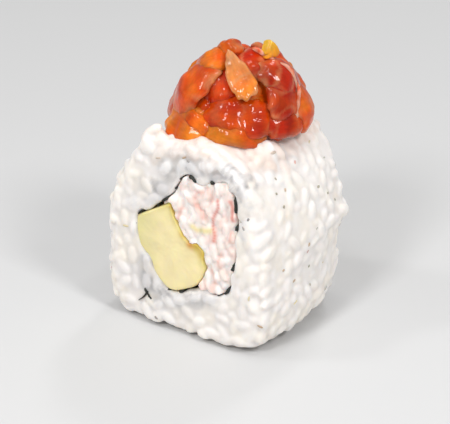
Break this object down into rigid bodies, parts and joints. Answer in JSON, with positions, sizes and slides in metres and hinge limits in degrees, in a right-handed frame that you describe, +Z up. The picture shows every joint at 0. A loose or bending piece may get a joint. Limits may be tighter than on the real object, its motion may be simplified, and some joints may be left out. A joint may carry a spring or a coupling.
{
  "type": "california roll piece",
  "caption": "Cut piece of inside-out sushi roll: pressed rice round nori, avocado and crab, standing on its flat side with a heap of glazed chopped salmon on top.",
  "frame": {"origin": "middle of the flat base, on the surface that the piece stands on", "axes": "+Z up through the salmon, +Y along the roll's axis away from the cut face that shows, +X to that face's right"},
  "size_m": [0.043, 0.0324, 0.0607],
  "materials": {
    "rice": "moist cooked rice",
    "nori": "damp seaweed sheet",
    "avocado": "smooth soft flesh",
    "crab": "moist shreds",
    "salmon": "wet glazed flakes"
  },
  "bodies": {
    "root": {"rice": "rice", "nori": "nori", "avocado": "avocado", "crab": "crab", "salmon": "salmon"}
  },
  "joints": []
}
